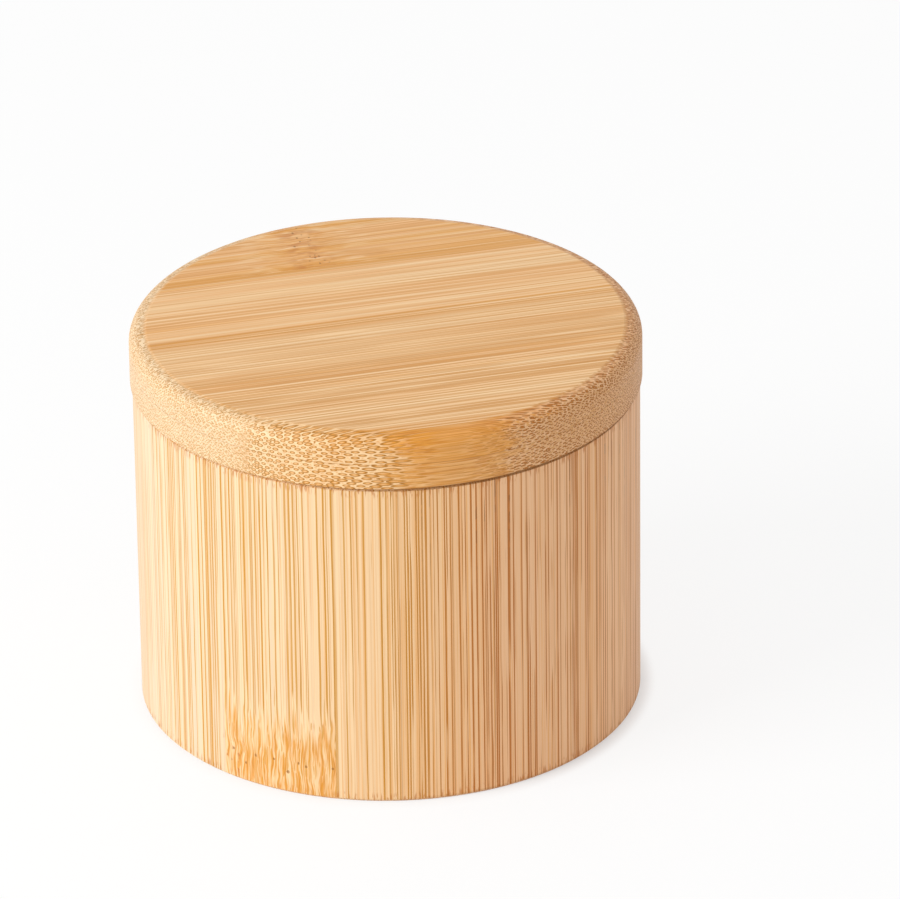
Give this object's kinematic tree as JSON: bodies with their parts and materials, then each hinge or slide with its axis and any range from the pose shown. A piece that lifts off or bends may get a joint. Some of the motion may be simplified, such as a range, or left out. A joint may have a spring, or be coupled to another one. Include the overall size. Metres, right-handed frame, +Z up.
{
  "type": "salt box",
  "caption": "Round lidded box in laminated bamboo: a thick-walled cup whose flush, round-edged lid swings sideways on a hidden upright pin and is held shut by magnets.",
  "frame": {"origin": "centre of the flat foot, on the axis of the body", "axes": "+Z up along the body's axis; -Y is the front, where the magnets are, and the lid's pin is at the back, towards +Y"},
  "size_m": [0.0896, 0.0896, 0.0711],
  "materials": {
    "body_bamboo": "fine-sanded, thin food-safe oil, matt",
    "lid_bamboo": "fine-sanded, thin food-safe oil, matt",
    "steel": "turned and polished",
    "nickel": "nickel plate"
  },
  "bodies": {
    "body": {"body_ply_01": "body_bamboo", "body_ply_02": "body_bamboo", "body_ply_03": "body_bamboo", "body_ply_04": "body_bamboo", "body_ply_05": "body_bamboo", "body_ply_06": "body_bamboo", "body_ply_07": "body_bamboo", "body_ply_08": "body_bamboo", "body_ply_09": "body_bamboo", "body_ply_10": "body_bamboo", "body_ply_11": "body_bamboo", "body_ply_12": "body_bamboo", "body_ply_13": "body_bamboo", "body_ply_14": "body_bamboo", "body_ply_15": "body_bamboo", "body_ply_16": "body_bamboo", "body_ply_17": "body_bamboo", "pivot_pin": "steel", "pivot_washer": "steel", "rim_magnet": "nickel"},
    "lid": {"lid_under_strip_1": "lid_bamboo", "lid_under_strip_2": "lid_bamboo", "lid_under_strip_3": "lid_bamboo", "lid_under_strip_4": "lid_bamboo", "lid_under_strip_5": "lid_bamboo", "lid_top_strip_1": "lid_bamboo", "lid_top_strip_2": "lid_bamboo", "lid_top_strip_3": "lid_bamboo", "lid_top_strip_4": "lid_bamboo", "lid_top_strip_5": "lid_bamboo", "lid_top_strip_6": "lid_bamboo", "lid_magnet": "nickel"}
  },
  "joints": [
    {"name": "lid_swivel", "type": "hinge", "parent": "body", "child": "lid", "pos_m": [0, 0.03873, 0.0611], "axis": [0, 0, 1], "continuous": true}
  ]
}
